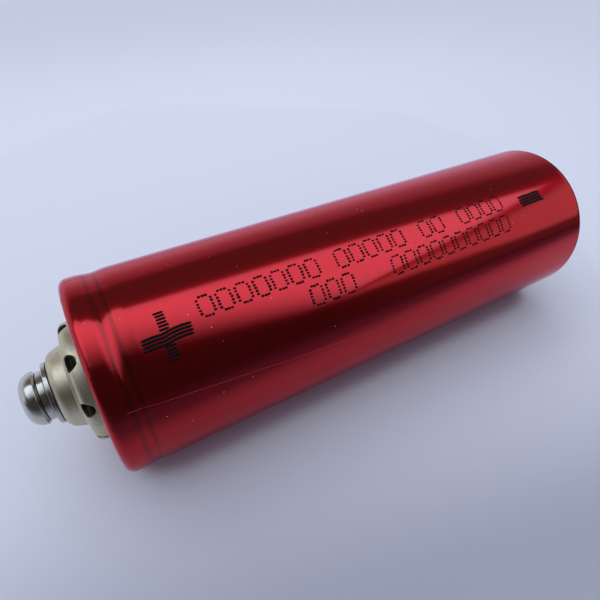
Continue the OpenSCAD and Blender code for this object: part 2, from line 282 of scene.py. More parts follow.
def red_film(g, place):
    """Metallic red film under a clear gloss, with scuffs and dust.

    Painted shade darkens the rings where it touches the bead, and it is dark where it folds over the
    negative rim.
    """
    peel = g.noise(place, 0.9, 3.0)
    scuffs = g.smooth(g.noise(g.stretch(place, (0.25, 6.0, 6.0)), 1.3, 3.0), 0.68, 0.8)
    specks = g.add("TexVoronoi", {"Vector": place, "Scale": 0.42, "Randomness": 1.0}, output="Distance")
    dust = g.smooth(specks, 0.035, 0.02)
    sway = g.noise(place, 0.09, 1.0)
    height = g.total(g.product(sway, 0.5), g.product(peel, 0.02), g.product(scuffs, 0.015))
    along = g.math("SUBTRACT", g.add("SeparateXYZ", {0: place}, output="X"), RIM[POSITIVE])
    contact = 0.0
    for centre, half, _ in CONTACTS:
        away = g.math("ABSOLUTE", g.math("SUBTRACT", along, centre))
        contact = g.total(g.smooth(away, half * 1.5, half * 0.4), contact)
    tint = g.mix(g.noise(place, 0.12), (0.45, 0.0075, 0.013), (0.48, 0.0100, 0.016))
    # painted shade: the rings where the film touches the bead are darkened
    darkened_tint = g.mix(g.product(contact, 0.45), tint, (0.08, 0.010, 0.008))
    radius = g.add("VectorMath", {0: g.stretch(place, (0.0, 1.0, 1.0))}, output="Value", operation="LENGTH")
    on_corner = g.smooth(radius, BARREL_R - 1.2, BARREL_R - 0.7)
    fold = g.product(g.smooth(along, BARREL_LEN - 1.25, BARREL_LEN - 0.95), on_corner)
    darkened_tint = g.mix(fold, darkened_tint, (0.05, 0.003, 0.004))
    return {
        "Base Color": g.mix(dust, darkened_tint, (0.75, 0.6, 0.6)),
        "Metallic": g.math("SUBTRACT", 1.0, dust),
        "Roughness": g.total(0.17, g.product(scuffs, 0.1), g.product(dust, 0.4)),
        "Specular Tint": (0.95, 0.30, 0.45, 1.0),
        "Coat Weight": g.smooth(fold, 0.0, 1.0, 0.5, 0.1),
        "Coat Roughness": g.total(0.03, g.product(scuffs, 0.08)),
        "Coat IOR": 1.5,
        "Normal": g.bump(height, 0.03),
        "Coat Normal": g.bump(height, 0.03),
    }


def nickel_cap(g, place):
    """Matte warm nickel plating on drawn sheet: fine grain, stains, yellowish tarnish."""
    grain = g.noise(place, 5.5, 4.0, 0.6)
    tarnish = g.smooth(g.noise(place, 0.35, 3.0), 0.4, 0.7)
    stain = g.smooth(g.noise(place, 1.1, 4.0, 0.6), 0.55, 0.75)
    warm = g.mix(tarnish, (0.62, 0.56, 0.41), (0.69, 0.60, 0.36))
    plated = g.mix(g.product(stain, 0.35), warm, (0.34, 0.31, 0.24))
    return {
        # painted shade: the plating turns near black in crevices and inside the cap
        "Base Color": g.mix(g.open_air(3.0), (0.05, 0.045, 0.035), plated),
        "Metallic": 1.0,
        "Roughness": g.total(0.36, g.product(grain, 0.1), g.product(stain, 0.08)),
        "Normal": g.bump(g.total(grain, g.product(stain, 0.5)), 0.012),
    }


def nickel_steel(g, place):
    """Satin nickel plating with a rolled grain and darker handling marks."""
    grain = g.noise(g.stretch(place, (3.0, 3.0, 0.35)), 3.0, 3.0)
    marks = g.smooth(g.noise(place, 0.22, 4.0, 0.6), 0.45, 0.75)
    plated = g.mix(marks, (0.62, 0.60, 0.55), (0.48, 0.46, 0.42))
    return {
        # painted shade: near black in crevices and enclosed spaces
        "Base Color": g.mix(g.open_air(6.0), (0.06, 0.058, 0.055), plated),
        "Metallic": 1.0,
        "Roughness": g.total(0.24, g.product(grain, 0.1), g.product(marks, 0.08)),
        "Normal": g.bump(grain, 0.004),
    }


def polished_steel(g, place):
    """Polished stainless steel with fine turning marks round the axis and a few dull spots."""
    turning = g.noise(g.stretch(place, (14.0, 0.6, 0.6)), 1.0, 3.0)
    dull = g.smooth(g.noise(place, 1.4, 3.0), 0.55, 0.8)
    bright = g.mix(dull, (0.54, 0.52, 0.46), (0.40, 0.38, 0.33))
    return {
        # painted shade: near black in crevices, such as the gaps between the washers and under the screw
        # head
        "Base Color": g.mix(g.open_air(0.9), (0.03, 0.028, 0.026), bright),
        "Metallic": 1.0,
        "Roughness": g.total(0.13, g.product(turning, 0.06), g.product(dull, 0.1)),
        "Normal": g.bump(turning, 0.003),
    }


def white_fibre(g, place):
    """Pressed fibre board: fine crossing fibres, off-white and a little blotchy."""
    fibres = g.noise(g.stretch(place, (1.0, 6.0, 1.5)), 2.0, 4.0, 0.65)
    crossing = g.noise(g.stretch(place, (1.0, 1.5, 6.0)), 2.0, 4.0, 0.65)
    weave = g.total(g.product(fibres, 0.5), g.product(crossing, 0.5))
    return {
        "Base Color": g.mix(weave, (0.62, 0.60, 0.53), (0.86, 0.85, 0.80)),
        "Roughness": 0.85,
        "Normal": g.bump(weave, 0.03),
    }


def clear_plastic(g, place):
    """Milky moulded polypropylene."""
    cloud = g.noise(place, 0.8, 2.0)
    return {
        "Base Color": g.mix(cloud, (0.74, 0.76, 0.72), (0.86, 0.87, 0.84)),
        "Roughness": g.total(0.3, g.product(cloud, 0.15)),
        "Subsurface Weight": 0.4,
        "Subsurface Radius": (0.0006, 0.0006, 0.0005),
        "Normal": g.bump(g.noise(place, 6.0, 3.0), 0.004),
    }


def aluminium_foil(g, place):
    """Rolled aluminium with fine rolling lines."""
    lines = g.noise(g.stretch(place, (1.0, 9.0, 0.4)), 1.5, 3.0)
    rolled = g.mix(lines, (0.78, 0.79, 0.80), (0.88, 0.89, 0.90))
    return {
        # painted shade: near black in crevices and enclosed spaces
        "Base Color": g.mix(g.open_air(6.0), (0.08, 0.08, 0.08), rolled),
        "Metallic": 1.0,
        "Roughness": g.total(0.22, g.product(lines, 0.14)),
        "Normal": g.bump(lines, 0.003),
    }


def coated_foil(dark, light):
    """Matte electrode coating in two shades."""

    def shade(g, place):
        grain = g.noise(place, 7.0, 4.0, 0.6)
        return {
            "Base Color": g.mix(grain, dark, light),
            "Roughness": 0.8,
            "Normal": g.bump(grain, 0.01),
        }

    return shade


def separator_film(g, place):
    """Thin milky film with a slight crinkle."""
    crinkle = g.noise(place, 0.9, 3.0)
    return {
        "Base Color": g.mix(crinkle, (0.82, 0.83, 0.82), (0.92, 0.92, 0.90)),
        "Roughness": 0.45,
        "Normal": g.bump(crinkle, 0.02),
    }


def blue_tape(g, place):
    """Blue polyester tape, glossy over fine adhesive mottling."""
    mottle = g.noise(place, 1.6, 3.0)
    return {
        "Base Color": g.mix(mottle, (0.05, 0.16, 0.38), (0.09, 0.24, 0.48)),
        "Roughness": g.total(0.18, g.product(mottle, 0.1)),
        "Normal": g.bump(mottle, 0.006),
    }


def copper(g, place):
    """Rolled copper with light tarnish."""
    tarnish = g.smooth(g.noise(place, 0.5, 3.0), 0.4, 0.7)
    return {
        "Base Color": g.mix(tarnish, (0.86, 0.48, 0.30), (0.62, 0.32, 0.20)),
        "Metallic": 1.0,
        "Roughness": g.total(0.2, g.product(tarnish, 0.2)),
        "Normal": g.bump(g.noise(g.stretch(place, (1.0, 8.0, 0.5)), 1.5, 3.0), 0.003),
    }


def black_ink(g, place):
    """Dried marking ink: black, half matte, thin in places so that some red shows."""
    thin = g.smooth(g.noise(place, 4.0, 3.0), 0.5, 0.8)
    return {
        "Base Color": g.mix(thin, (0.003, 0.002, 0.002), (0.02, 0.003, 0.003)),
        "Roughness": g.total(0.6, g.product(thin, 0.1)),
        "Specular IOR Level": 0.1,
        "Normal": g.bump(g.noise(place, 9.0, 2.0), 0.004),
    }


SHADES = {
    "red_film": red_film,
    "nickel_steel": nickel_steel,
    "nickel_cap": nickel_cap,
    "polished_steel": polished_steel,
    "white_fibre": white_fibre,
    "clear_plastic": clear_plastic,
    "aluminium_foil": aluminium_foil,
    "phosphate_coating": coated_foil((0.05, 0.05, 0.055), (0.10, 0.10, 0.11)),
    "graphite_coating": coated_foil((0.02, 0.02, 0.023), (0.05, 0.05, 0.055)),
    "separator_film": separator_film,
    "blue_tape": blue_tape,
    "copper": copper,
    "black_ink": black_ink,
}
MATERIALS = {name: material(name, shade) for name, shade in SHADES.items()}
for subpart in frame["record"]["subparts"]:
    slots = frame["nodes"][subpart["node"]].data.materials
    slots.clear()
    slots.append(MATERIALS[subpart["material_slot"]])


# ---------------------------------------------------------------- film sleeve

def hump(distance, half_width):
    """1 at distance 0, easing to 0 at the half width."""
    reach = abs(distance) / half_width
    return 0.5 * (1 + math.cos(math.pi * reach)) if reach < 1 else 0.0


def dip_depth(along):
    """Depth of the film's hollow over the can's bead, with a fine ridge at each ring of contact."""
    centre, half, depth = SAG
    ridges = sum(tall * hump(along - middle, width) for middle, width, tall in CONTACTS)
    return depth * hump(along - centre, half) - ridges


def wave(along, turn):
    """Height of the film's slight waviness, 0 at the two ends."""
    a = math.radians(turn)
    x, y = BARREL_R * math.cos(a), BARREL_R * math.sin(a)
    slow = noise.noise(Vector((along / 26, x / 9, y / 9)))
    quick = noise.noise(Vector((along / 13, x / 4, 7 + y / 4)))
    on_wall = hump(along - BARREL_LEN / 2, BARREL_LEN / 2) ** 0.2
    return on_wall * (0.012 * (slow - 1) + 0.004 * quick)


def random_pleats(count, seed):
    """Pleats of the shrunk film at one end, as (turn, half width in degrees, height)."""
    source = random.Random(seed)
    step = 360 / count
    return [
        ((i + source.uniform(-0.4, 0.4)) * step, source.uniform(0.7, 2.2), source.uniform(0.02, 0.09))
        for i in range(count)
    ]


PLEATS = {POSITIVE: random_pleats(34, 3), NEGATIVE: random_pleats(30, 8)}


def pleat_height(side, turn):
    """Height of the pleats of one end at a turn."""
    height = 0
    for centre, half, tall in PLEATS[side]:
        away = (turn - centre + 180) % 360 - 180
        height += tall * hump(away, half)
    return height


def film_row(along, radius, outward, turns, depth):
    """Row of film points: depth under the surface along the outward direction (along, radius)."""
    pleat_reach, pleat_on_wall = 3.2, 0.12      # how far down the wall pleats run, and their share there
    edge_band, edge_wander = 0.8, 0.12          # the cut edge wanders in and out near the lip's rim
    near = {POSITIVE: along, NEGATIVE: BARREL_LEN - along}
    lip = min(1.0, (BARREL_R - radius) / (BARREL_R - LIP_R))
    inner = max(0.0, 1 - (radius - LIP_R) / edge_band)
    row = []
    for turn, pleats in turns:
        lift = wave(along, turn)
        for side in (POSITIVE, NEGATIVE):
            fade = max(0.0, 1 - near[side] / pleat_reach) ** 2
            lift += pleats[side] * fade * (pleat_on_wall + (1 - pleat_on_wall) * lip)
        edge = edge_wander * noise.noise(Vector((turn * 0.06, along * 0.01, 4)))
        step = lift - depth
        row.append(on_barrel(along + outward[0] * step, turn, radius + outward[1] * step + inner * edge))
    return row


def film_corner(along, radius, corner, start, steps=10):
    """Quarter circle of film steps about a centre; it faces start degrees first, and 0 is outwards."""
    quarter = []
    for i in range(steps + 1):
        a = math.radians(start + 90 * i / steps)
        out = (math.sin(a), math.cos(a))
        quarter.append((along + corner * out[0], radius + corner * out[1], out))
    return quarter


def film_path():
    """Outer surface of the film from lip to lip, as steps of (along, radius, outward direction)."""
    lip_steps = 4
    fine_step, fine_rows = 0.24, 33             # over the bead
    coarse_rows = 44                            # down the plain wall
    last_zone, last_step, last_rows = 5, 0.75, 4    # by the pleats of the negative end
    top_r, base_r = BARREL_R - TOP_CORNER, BARREL_R - BASE_CORNER
    path = [(0.0, LIP_R + (top_r - LIP_R) * i / lip_steps, (-1, 0)) for i in range(lip_steps)]
    path += film_corner(TOP_CORNER, top_r, TOP_CORNER, -90)
    places = [TOP_CORNER + fine_step * i for i in range(1, fine_rows + 1)]
    wall_start, wall_end = places[-1], BARREL_LEN - last_zone
    places += [wall_start + (wall_end - wall_start) * i / coarse_rows for i in range(1, coarse_rows + 1)]
    places += [wall_end + last_step * i for i in range(1, last_rows + 1)]
    for along in places:
        slope = (dip_depth(along + 0.01) - dip_depth(along - 0.01)) / 0.02
        length = math.hypot(1, slope)
        path.append((along, BARREL_R - dip_depth(along), (slope / length, 1 / length)))
    path += film_corner(BARREL_LEN - BASE_CORNER, base_r, BASE_CORNER, 0)
    for i in range(1, lip_steps + 1):
        path.append((BARREL_LEN, base_r - (base_r - LIP_R) * i / lip_steps, (1, 0)))
    return path


def film_sleeve():
    """Shrunk film as one closed shell; its inner face has a quarter of the outer face's rows."""
    columns = 600
    turns = []
    for j in range(columns):
        turn = 360 * j / columns
        turns.append((turn, {side: pleat_height(side, turn) for side in (POSITIVE, NEGATIVE)}))
    path = film_path()
    outer = [film_row(*step, turns, 0.0) for step in path]
    inside = path[::4] + ([path[-1]] if (len(path) - 1) % 4 else [])
    inner = [film_row(*step, turns, FILM_T) for step in reversed(inside)]
    piece("film_sleeve", [bridge(outer + inner, True)], "cell", "red_film", ["sleeve"])


film_sleeve()


# ---------------------------------------------------------------- crease and print on the film

def surface_radius(along, turn):
    """Radius of the film's outer surface on the barrel."""
    return BARREL_R - dip_depth(along) + wave(along, turn)


def ribbon(centreline, half_widths, height):
    """Closed strip on the film: centreline of (along, turn), half widths across it in mm."""
    sunk = 0.03
    rings = []
    for (along, turn), half in zip(centreline, half_widths):
        spread = math.degrees(half / BARREL_R)
        ring = []
        for place, lift in (
            (turn - spread, height * 0.55), (turn, height), (turn + spread, height * 0.55),
            (turn + spread, -sunk), (turn, -sunk), (turn - spread, -sunk),
        ):
            ring.append(on_barrel(along, place, surface_radius(along, place) + lift))
        rings.append(ring)
    return capped(rings)


def film_crease(name, start_turn):
    """Hairline fold left by the flat-packed tube, winding slowly down the barrel."""
    slope, pivot = -0.287, 10               # degrees per mm, and where it passes the start turn
    steps, margin = 360, 3.4
    line = []
    for i in range(steps + 1):
        along = margin + (BARREL_LEN - 2 * margin) * i / steps
        drift = 0.5 * noise.noise(Vector((along / 9, start_turn, 0)))
        line.append((along, start_turn + slope * (along - pivot) + drift))
    piece(name, [ribbon(line, [0.065] * len(line), 0.0045)], "cell", "red_film")


PRINT_TURN = 45                         # the print faces up and towards -Y
DOT = (0.58, 0.48)                      # size of one ink dot, along and across the axis
DOT_STEP = (0.62, 1.82)                 # from dot to dot: mm along the axis, degrees round it
DIGIT_PITCH = 3.48
ZERO = (".###.", "#...#", "#...#", "#...#", "#...#", "#...#", ".###.")
# Groups of placeholder digits: (distance of the first from the rim, turn of the top dots, how many)
DIGIT_GROUPS = (
    (19.2, 19.6, 7), (46.7, 19.6, 5), (67.9, 19.6, 2), (78.9, 19.6, 4),
    (39.0, 4.4, 3), (57.9, 4.4, 10),
)


def ink_bar(start, length, turn, width, wobble=None):
    """Bar of ink along the axis with rounded ends; wobble(along) shifts it round the barrel in mm."""
    steps = 4 if length < 1 else 24
    line, halves = [], []
    for i in range(steps + 1):
        t = i / steps
        along = start + length * t
        shift = math.degrees(wobble(along) / BARREL_R) if wobble else 0.0
        end = min(t, 1 - t) * length / (width * 0.5)
        line.append((along, PRINT_TURN + turn + shift))
        halves.append(width / 2 * math.sqrt(max(0.12, 1 - max(0.0, 1 - end) ** 2)))
    return ribbon(line, halves, 0.012)


def printed_digits():
    """Placeholder digits made of rows of dots, each a little out of place."""
    source = random.Random(5)
    bars = []
    for first, top, count in DIGIT_GROUPS:
        for n in range(count):
            for row, pattern in enumerate(ZERO):
                for column, mark in enumerate(pattern):
                    if mark != "#":
                        continue
                    along = first + n * DIGIT_PITCH + column * DOT_STEP[0] + source.uniform(-0.05, 0.05)
                    turn = top - row * DOT_STEP[1] + source.uniform(-0.12, 0.12)
                    size = source.uniform(0.88, 1.1)
                    bars.append(ink_bar(along, DOT[0] * size, turn, DOT[1] * size))
    piece("ink_digits", bars, "cell", "black_ink")


def printed_plus():
    """Plus sign made of raster lines, with a small jog where the arms cross."""
    source = random.Random(9)
    middle, arm, stem = 13.1, 8.5, 1.75
    lines, top, line_step = 15, 18.6, 1.74

    def jog(along):
        return 0.16 * math.tanh((along - middle) / 0.7) + 0.05 * math.sin(along * 1.3)

    bars = []
    for i in range(lines):
        turn = top - i * line_step + source.uniform(-0.1, 0.1)
        crossing = 6 <= i <= 9
        length = arm if crossing else stem * source.uniform(0.92, 1.1)
        start = middle - length / 2 + source.uniform(-0.12, 0.12)
        bars.append(ink_bar(start, length, turn, 0.49 if crossing else 0.42, jog if crossing else None))
    piece("ink_plus", bars, "cell", "black_ink")


def printed_minus():
    """Minus sign made of raster lines."""
    source = random.Random(4)
    first, length, lines, top, line_step = 97.8, 7.5, 4, 12.7, 2.05

    def waver(along):
        return 0.04 * math.sin(along * 1.9)

    bars = []
    for i in range(lines):
        start = first + source.uniform(-0.15, 0.15)
        long = length + source.uniform(-0.2, 0.2)
        bars.append(ink_bar(start, long, top - line_step * i, 0.62, waver))
    piece("ink_minus", bars, "cell", "black_ink")


film_crease("film_crease_front", PRINT_TURN - 24)
film_crease("film_crease_back", PRINT_TURN - 24 + 180)
printed_plus()
printed_digits()
printed_minus()


# ---------------------------------------------------------------- positive cap

VENTS = 8
VENT_PHASE = 19                         # turn of the first vent
VENT_R = 1.45
VENT_EDGE = 0.16                        # rounding of a vent's rim
VENT_POINTS = 56                        # points round a vent's rim
VENT_COLUMNS = 40                       # columns of the mesh in one vent's sector
DRILL_AT = (2.0, 10.6)                  # a point on a vent's axis: outwards from the rim, radius
CAP_FLANGE = -2.14                      # underside of the cap's clamped flange
BORE_R = 3.03


def cap_skin(inset):
    """Outer skin of the stepped cap from the bore's edge to the flange, inset for the inner skin."""
    dome_r, dome_corner, dome_lean = 7.75, 2.1, 0.35
    step_r, step_top, shoulder = 11.5, 2.75, 1.6
    foot, root = 0.5, 0.6
    return (
        arc((CAP_TOP - dome_corner, dome_r - dome_lean - dome_corner), dome_corner - inset, 90, 10, 12)
        + arc((step_top + 0.85, dome_r + 0.5), foot + inset, 190, 262)
        + arc((step_top - shoulder, step_r - shoulder), shoulder - inset, 84, 0, 14)
        + arc((CAP_FLANGE + SHEET + root, step_r + root), root + inset, 180, 270, 6)
    )


def measure(path):
    """Running length along a path."""
    lengths = [0.0]
    for here, ahead in zip(path, path[1:]):
        lengths.append(lengths[-1] + (ahead - here).length)
    return lengths


def point_at(path, lengths, s):
    """Point of a path at a running length."""
    for i in range(1, len(path)):
        if s <= lengths[i] or i == len(path) - 1:
            t = (s - lengths[i - 1]) / (lengths[i] - lengths[i - 1])
            return path[i - 1].lerp(path[i], t)


def nearest(path, lengths, spot):
    """(signed distance, running length) of the path's point nearest to a spot; outside is positive."""
    best = (1e9, 0.0)
    for i in range(1, len(path)):
        step = path[i] - path[i - 1]
        t = max(0.0, min(1.0, (spot - path[i - 1]).dot(step) / step.length_squared))
        away = spot - path[i - 1].lerp(path[i], t)
        if away.length < abs(best[0]):
            outside = step.y * away.x - step.x * away.y
            best = (math.copysign(away.length, outside), lengths[i - 1] + t * step.length)
    return best


def drill_ring(path, lengths, radius):
    """Where a vent's drill of a radius leaves the skin: list of (running length, turn, point)."""
    out = Vector((1, 0, 1)).normalized()              # local axes: radius, across, along
    across, up = Vector((0, 1, 0)), Vector((-1, 0, 1)).normalized()
    origin = Vector((DRILL_AT[1], 0, DRILL_AT[0]))
    ring = []
    for i in range(VENT_POINTS):
        t = 2 * math.pi * i / VENT_POINTS
        start = origin + radius * (math.cos(t) * across + math.sin(t) * up)
        low, high = -2.5, 2.5
        for _ in range(34):
            mid = (low + high) / 2
            p = start + mid * out
            if nearest(path, lengths, Vector((p.z, math.hypot(p.x, p.y))))[0] > 0:
                high = mid
            else:
                low = mid
        p = start + low * out
        s = nearest(path, lengths, Vector((p.z, math.hypot(p.x, p.y))))[1]
        ring.append((s, math.degrees(math.atan2(p.y, p.x)), p))
    return ring


def inside_ring(ring, spot):
    """True if a spot is inside a closed ring of 2D points."""
    hit = False
    for a, b in zip(ring, ring[1:] + ring[:1]):
        crosses = (a.y > spot.y) != (b.y > spot.y)
        if crosses and spot.x < (b.x - a.x) * (spot.y - a.y) / (b.y - a.y) + a.x:
            hit = not hit
    return hit


def pierced_sector(path, lengths, start, end, ring):
    """Mesh of one vent's sector of the skin between two running lengths, with the vent left out.

    Its points are (along, radius, turn from the vent). It is laid out flat, as running length against
    arc length, to be cut into triangles.
    """
    rows, clear = 26, 0.12                            # grid points keep clear of the vent's rim
    scale = math.radians(1) * DRILL_AT[1]
    half = 180 / VENTS * scale
    hole = [Vector((s, turn * scale)) for s, turn, _ in ring]
    centre = sum(hole, Vector((0, 0))) / len(hole)
    grown = [h + (h - centre).normalized() * clear for h in hole]
    spots = list(hole)
    for i in range(rows + 1):
        s = start + (end - start) * i / rows
        for j in range(VENT_COLUMNS + 1):
            spot = Vector((s, -half + 2 * half * j / VENT_COLUMNS))
            if i in (0, rows) or j in (0, VENT_COLUMNS) or not inside_ring(grown, spot):
                spots.append(spot)
    edges = [(i, (i + 1) % len(hole)) for i in range(len(hole))]
    flat, _, faces, *_ = delaunay_2d_cdt(spots, edges, [], 0, 1e-6)
    kept = []
    for face in faces:
        middle = sum((flat[i] for i in face), Vector((0, 0))) / len(face)
        if not inside_ring(hole, middle):
            kept.append(face)
    points = []
    for spot in flat:
        along, radius = point_at(path, lengths, spot.x)
        points.append((along, radius, spot.y / scale))
    return points, kept


def vented_skin(path, radius):
    """A skin with its vents cut: (ring of a vent, meshes round the vents, path above, path below)."""
    above, below = 0.35, 0.3                          # from the vents to the ends of their band
    lengths = measure(path)
    ring = drill_ring(path, lengths, radius)
    start = min(s for s, _, _ in ring) - above
    end = max(s for s, _, _ in ring) + below
    points, faces = pierced_sector(path, lengths, start, end, ring)
    sectors = []
    for n in range(VENTS):
        turn = 360 * n / VENTS + VENT_PHASE
        sectors.append(([at_end(POSITIVE, a, r, t + turn) for a, r, t in points], faces))
    upper = [p for p, s in zip(path, lengths) if s < start - 0.05] + [point_at(path, lengths, start)]
    lower = [point_at(path, lengths, end)] + [p for p, s in zip(path, lengths) if s > end + 0.05]
    return ring, sectors, upper, lower


def cap_shell():
    """Pressed sheet cap: two skins, pierced by the vents, that meet at the bore and at the flange."""
    outer = cap_skin(0)
    ring, sectors, upper, lower = vented_skin(outer, VENT_R + VENT_EDGE)
    inner_ring, inner_sectors, inner_upper, inner_lower = vented_skin(cap_skin(SHEET), VENT_R)
    mouth_edge = 0.12
    mouth = rounded([
        (CAP_TOP - SHEET, BORE_R, 0.0), (CAP_TOP, BORE_R, mouth_edge), (CAP_TOP, BORE_R + 1, 0.0),
    ])
    flange_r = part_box("positive_cap")[1].z / MM
    rim = [Vector((CAP_FLANGE + SHEET, flange_r)), Vector((CAP_FLANGE, flange_r))]
    shapes = sectors + inner_sectors
    for path in (mouth + upper, lower + rim + inner_lower[::-1], inner_upper[::-1] + mouth[:1]):
        shapes.append(turned(POSITIVE, path, False, VENTS * VENT_COLUMNS, VENT_PHASE))
    bend = drill_ring(outer, measure(outer), VENT_R)
    shapes += vent_walls(ring, bend, inner_ring)
    keep_flats(piece("cap_shell", shapes, "cell", "nickel_cap", ["positive_cap"]))


def vent_walls(ring, bend, inner_ring):
    """Rounded rims and drilled walls of the vents.

    The rim curves in from its ring on the skin, round the drill's own ring, to the drilled wall.
    """
    into = Vector((-1, 0, -1)).normalized()
    rows = []
    steps = 5
    for k in range(steps + 1):
        t = k / steps
        row = []
        for (_, _, start), (_, _, corner) in zip(ring, bend):
            wall = corner + into * VENT_EDGE
            row.append(start * (1 - t) ** 2 + corner * 2 * t * (1 - t) + wall * t ** 2)
        rows.append(row)
    rows.append([p for _, _, p in inner_ring])
    shapes = []
    for n in range(VENTS):
        turn = 360 * n / VENTS + VENT_PHASE
        placed = []
        for row in rows:
            polar = [(p.z, math.hypot(p.x, p.y), math.degrees(math.atan2(p.y, p.x))) for p in row]
            placed.append([at_end(POSITIVE, along, radius, turn + t) for along, radius, t in polar])
        shapes.append(bridge(placed, False))
    return shapes


cap_shell()


# ---------------------------------------------------------------- negative post

def negative_post():
    """Pressed hat welded to the can's floor, with weld dimples round its flange."""
    post_r, post_corner, fillet, flange_r = 7.0, 1.8, 0.8, 10.0
    mouth_edge, flange_edge = 0.12, 0.2
    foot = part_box("negative_post")[0].x / MM - RIM[NEGATIVE]
    flange_top = foot + SHEET
    dimples, dimple_r, dimple_at, dimple_depth, first_dimple = 4, 0.9, 8.9, 0.28, 45
    ring_step, rings = 0.15, 13             # fine rows on the flange, for the dimples

    def dimple(along, radius, turn):
        near = min(abs((turn - 360 * n / dimples - first_dimple + 180) % 360 - 180) for n in range(dimples))
        away = math.hypot(radius - dimple_at, math.radians(near) * radius)
        on_top = abs(along - flange_top) < 0.01
        return along - (dimple_depth * hump(away, dimple_r) if on_top else 0), radius

    flange = rounded([
        (flange_top, flange_r - 1, 0.0), (flange_top, flange_r, flange_edge), (foot, flange_r, 0.0),
    ])
    outer = (
        arc((POST_TOP - post_corner, post_r - post_corner), post_corner, 90, 0, 12)
        + arc((flange_top + fillet, post_r + fillet), fillet, 180, 270)
        + [Vector((flange_top, post_r + fillet + ring_step * i)) for i in range(1, rings + 1)]
        + flange[1:]
    )
    inner = (
        arc((POST_TOP - post_corner, post_r - post_corner), post_corner - SHEET, 90, 0, 6)
        + arc((flange_top + fillet, post_r + fillet), fillet + SHEET, 180, 270)
    )
    mouth = rounded([
        (POST_TOP - SHEET, BORE_R, 0.0), (POST_TOP, BORE_R, mouth_edge), (POST_TOP, BORE_R + 1, 0.0),
    ])
    shape = turned(NEGATIVE, mouth + outer + inner[::-1], shift=dimple)
    keep_flats(piece("post_shell", [shape], "cell", "nickel_cap", ["negative_post"]))


negative_post()


# ---------------------------------------------------------------- terminal hardware

def flat_washer(side, top, name, body, node):
    """Stamped washer: rounded on its outer face, with a slight burr edge on the other."""
    low, high, hole = top + CLEARANCE, top + CLEARANCE + WASHER_T, 3.2
    path = rounded([
        (low, hole, 0.06), (low, WASHER_R, 0.15), (high, WASHER_R, 0.25), (high, hole, 0.12),
    ])
    keep_flats(piece(name, [turned(side, path)], body, "polished_steel", [node]))


def spring_washer(side, top, name, body, node):
    """Split ring, closed flat, with slanted ends."""
    low = top + CLEARANCE + WASHER_T + CLEARANCE
    high, hole = low + SPRING_T, 3.1
    section = rounded([
        (low, hole, 0.12), (low, SPRING_R, 0.25), (high, SPRING_R, 0.3), (high, hole, 0.12),
    ])
    slit_turn, slit_half, slant, segments = 200, 0.35, math.tan(math.radians(35)), 220
    middle = (low + high) / 2
    rows = []
    for j in range(segments + 1):
        row = []
        for along, radius in section:
            lean = (along - middle) * slant
            start = slit_turn + math.degrees((slit_half - lean) / radius)
            end = slit_turn + 360 - math.degrees((slit_half + lean) / radius)
            row.append(at_end(side, along, radius, start + (end - start) * j / segments))
        rows.append(row)
    keep_flats(piece(name, [capped(rows)], body, "polished_steel", [node]))


def screw(side, top, name, body, node):
    """Button head with a hexagon socket, and a shank with a helical thread."""
    seat = top + 3 * CLEARANCE + WASHER_T + SPRING_T
    crown = seat + HEAD_H
    flat_r, bevel, socket_af, socket_depth, chamfer = 2.45, 0.5, 4.0, 2.0, 0.1
    drill_point, drill_r = 0.5, 1.6         # the cone at the bottom of the socket
    width, height = HEAD_R - flat_r, HEAD_H - bevel
    dome_r = (width ** 2 + height ** 2) / (2 * width)
    sweep = math.degrees(math.asin(height / dome_r))
    segments = 192
    root = SCREW_R - 0.55 * PITCH
    neck, tip = seat - 0.6, seat - SCREW_LEN
    turns = [360 * j / segments for j in range(segments)]

    def hexagon(turn, grow):
        return (socket_af / 2 + grow) / math.cos(math.radians((turn % 60) - 30))

    rows = [[(crown - socket_depth - drill_point, 0.0)] * segments]
    rows.append([(crown - socket_depth, drill_r)] * segments)
    for along, grow in ((crown - socket_depth, 0.0), (crown - 0.25, 0.0), (crown - chamfer, 0.0)):
        rows.append([(along, hexagon(t, grow)) for t in turns])
    rows.append([(crown, min(hexagon(t, chamfer), flat_r - 0.02)) for t in turns])
    head = arc((seat + bevel, HEAD_R - dome_r), dome_r, sweep, 0, 20)
    head[0] = Vector((crown, flat_r))
    head += rounded([
        (seat + bevel, HEAD_R, 0.0), (seat + bevel - 0.12, HEAD_R, 0.1), (seat, HEAD_R - 0.5, 0.08),
        (seat, SCREW_R, 0.0),
    ])[1:]
    rows += [[tuple(p)] * segments for p in head]
    run_out, lead_in, steps = 0.5, 0.7, 12  # lengths the thread fades in and tapers off over, rows a turn
    count = int((neck - tip) / PITCH * steps)
    for i in range(count + 1):
        along = neck - (neck - tip) * i / count
        fade = min(1.0, (neck - along) / run_out)
        ending = min(1.0, (along - tip) / lead_in)
        row = []
        for t in turns:
            phase = ((neck - along) / PITCH - side * t / 360) % 1
            depth = 1 - hump(phase - 0.5, 0.5) ** 0.8
            radius = SCREW_R - (SCREW_R - root) * depth * fade
            row.append((along, radius * (0.82 + 0.18 * ending)))
        rows.append(row)
    rows.append([(tip, 0.0)] * segments)
    placed = [[at_end(side, a, r, t) for (a, r), t in zip(row, turns)] for row in rows]
    keep_flats(piece(name, [bridge(placed, False)], body, "polished_steel", [node]))


for end, side, top in (("positive", POSITIVE, CAP_TOP), ("negative", NEGATIVE, POST_TOP)):
    flat_washer(side, top, end + "_washer", end + "_washers", end + "_flat_washer")
    spring_washer(side, top, end + "_split_washer", end + "_washers", end + "_spring_washer")
    screw(side, top, end + "_button_screw", end + "_screw", end + "_screw")


# ---------------------------------------------------------------- stage, light and camera

